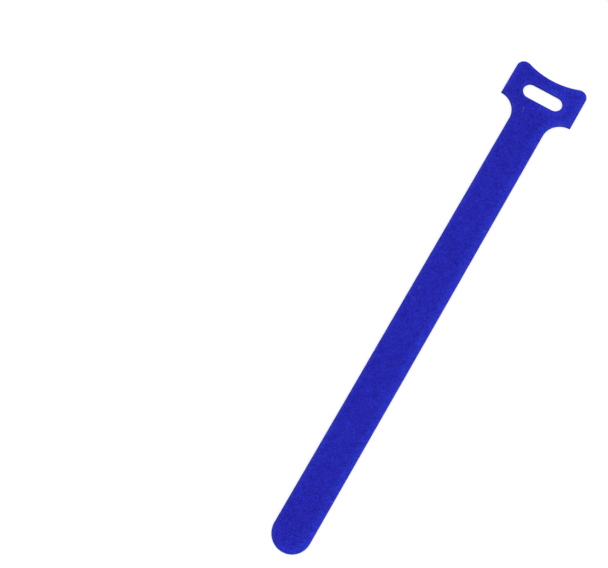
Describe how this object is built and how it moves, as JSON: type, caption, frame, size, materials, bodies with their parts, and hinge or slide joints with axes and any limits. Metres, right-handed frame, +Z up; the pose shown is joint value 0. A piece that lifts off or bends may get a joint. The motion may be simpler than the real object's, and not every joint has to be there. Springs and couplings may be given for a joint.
{
  "type": "hook and loop cable tie",
  "caption": "Flat hook and loop cable tie with a wide slotted head that its strap threads through, scooped shoulders and a rounded tip; loop pile on one face, hooks on the other.",
  "frame": {"origin": "middle of the underside of the bounding box, at mid-length on the centreline, on the surface the tie lies on", "axes": "+Y along the strap from the rounded tip to the head, +Z up out of the loop face, +X across the strap"},
  "size_m": [0.026, 0.18, 0.0018],
  "materials": {
    "blue_cloth": "matte napped loop pile, dyed royal blue"
  },
  "bodies": {
    "root": {"cable_tie": "blue_cloth"}
  },
  "joints": []
}
